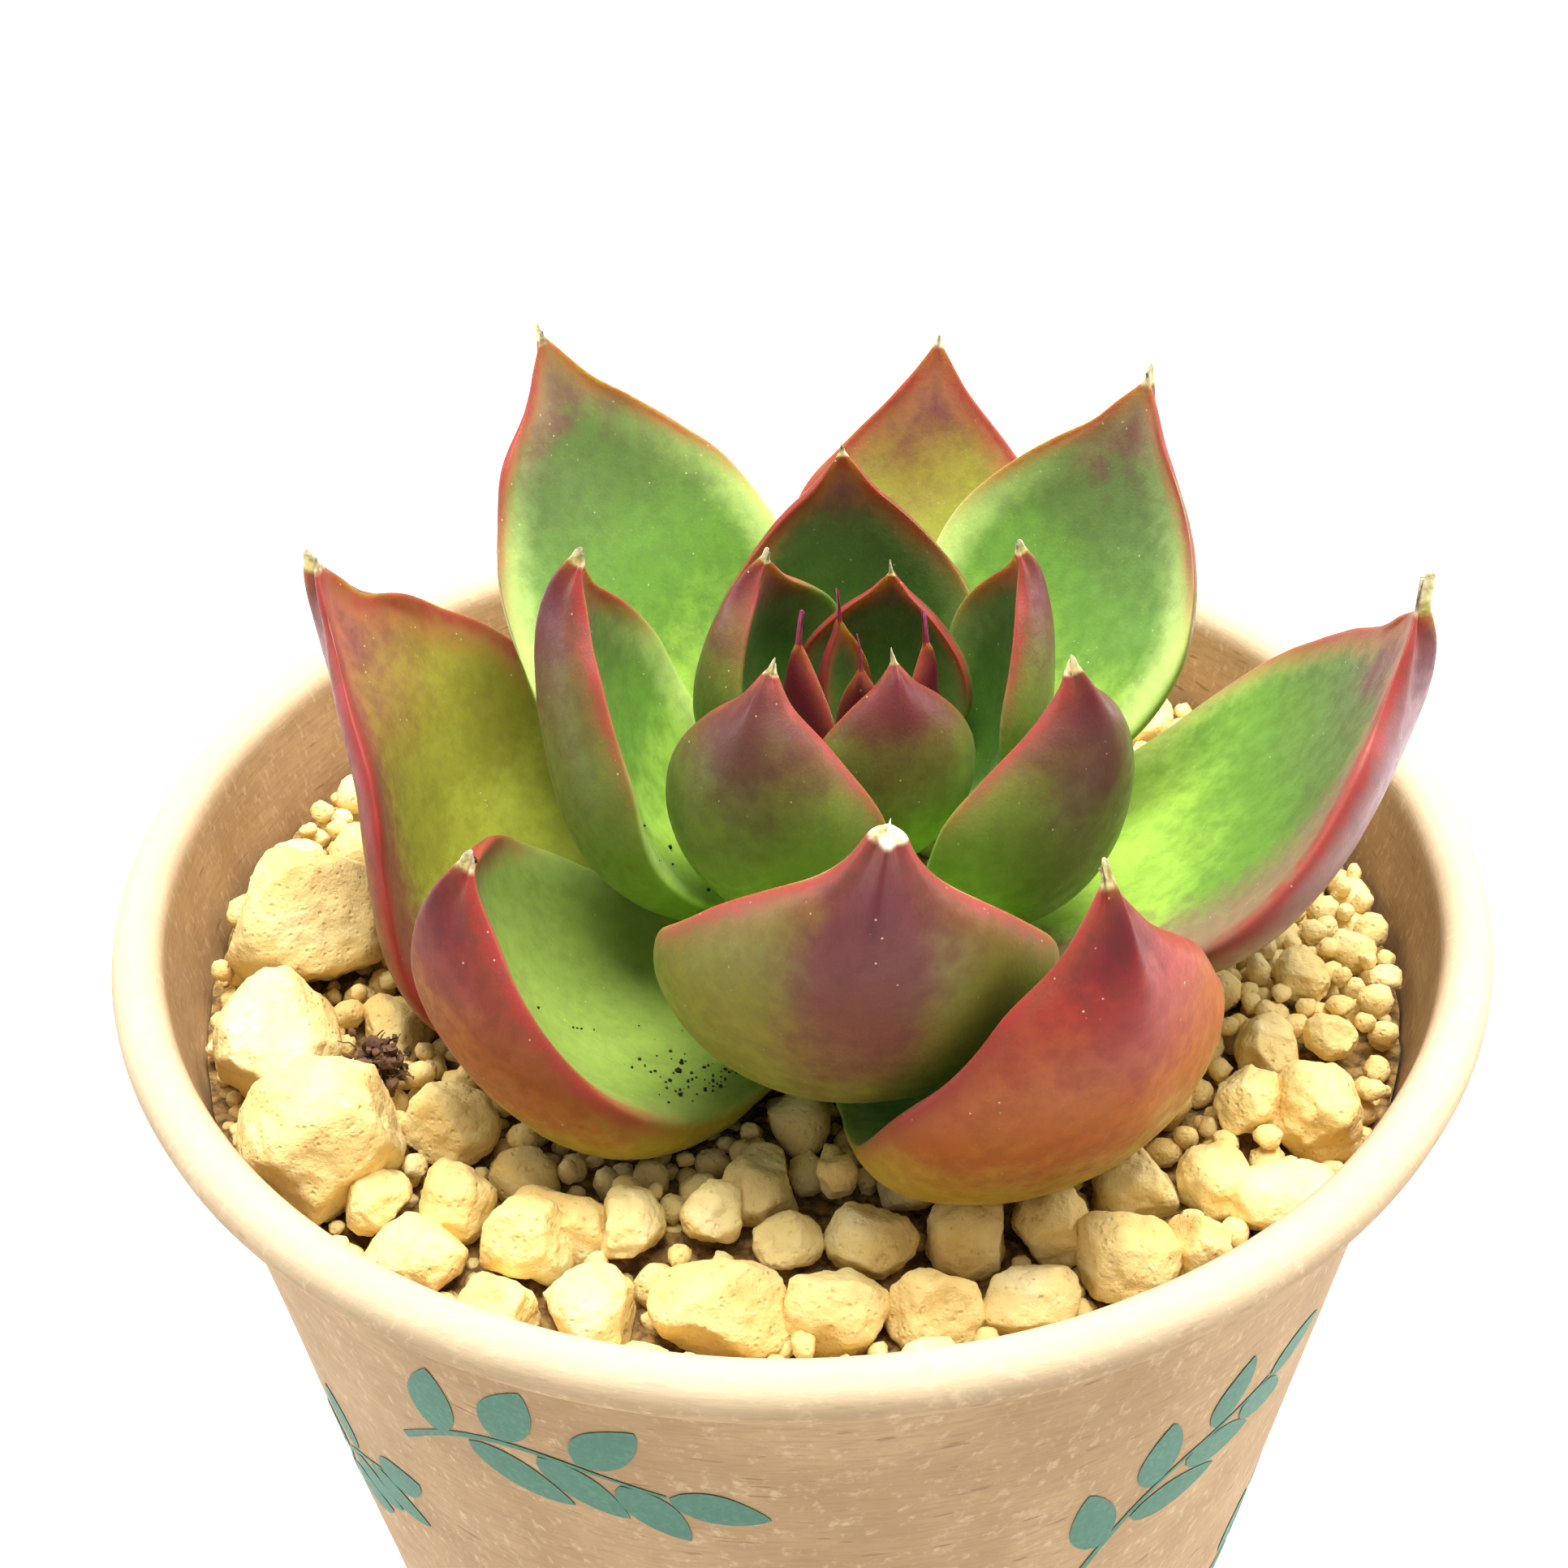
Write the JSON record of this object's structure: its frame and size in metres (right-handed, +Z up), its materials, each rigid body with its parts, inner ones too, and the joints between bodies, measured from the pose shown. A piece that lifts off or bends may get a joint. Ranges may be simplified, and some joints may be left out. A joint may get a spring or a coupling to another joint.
{
  "type": "potted succulent",
  "caption": "Succulent rosette of thick, pointed, red-edged leaves, planted in soil under pale pumice grit in a tapered paper cup with a curled rim",
  "frame": {"origin": "middle of the cup's foot, on the surface that it stands on", "axes": "+Z up along the cup's axis; -Y is the side the rosette is seen from; the cup's side seam is near -X"},
  "size_m": [0.08, 0.08, 0.1163],
  "materials": {
    "kraft_board": "uncoated brown kraft board with fine fibres",
    "soil": "loose potting soil",
    "pumice": "dry porous pumice",
    "root_bark": "dry bark",
    "leaf_skin": "waxy living leaf skin, green with crimson edges and tip"
  },
  "bodies": {
    "root": {"cup_base": "kraft_board", "cup_sleeve": "kraft_board", "dry_rootlet": "root_bark", "grit_bed": "pumice", "leaf_bud_1": "leaf_skin", "leaf_bud_2": "leaf_skin", "leaf_bud_3": "leaf_skin", "leaf_bud_4": "leaf_skin", "leaf_inner_1": "leaf_skin", "leaf_inner_2": "leaf_skin", "leaf_inner_3": "leaf_skin", "leaf_inner_4": "leaf_skin", "leaf_middle_1": "leaf_skin", "leaf_middle_2": "leaf_skin", "leaf_middle_3": "leaf_skin", "leaf_middle_4": "leaf_skin", "leaf_outer_1": "leaf_skin", "leaf_outer_2": "leaf_skin", "leaf_outer_3": "leaf_skin", "leaf_outer_4": "leaf_skin", "leaf_outer_5": "leaf_skin", "leaf_outer_6": "leaf_skin", "leaf_outer_7": "leaf_skin", "leaf_outer_8": "leaf_skin", "potting_soil": "soil", "pumice_stone_1": "pumice", "pumice_stone_10": "pumice", "pumice_stone_11": "pumice", "pumice_stone_12": "pumice", "pumice_stone_2": "pumice", "pumice_stone_3": "pumice", "pumice_stone_4": "pumice", "pumice_stone_5": "pumice", "pumice_stone_6": "pumice", "pumice_stone_7": "pumice", "pumice_stone_8": "pumice", "pumice_stone_9": "pumice", "stem_and_roots": "root_bark"}
  },
  "joints": []
}
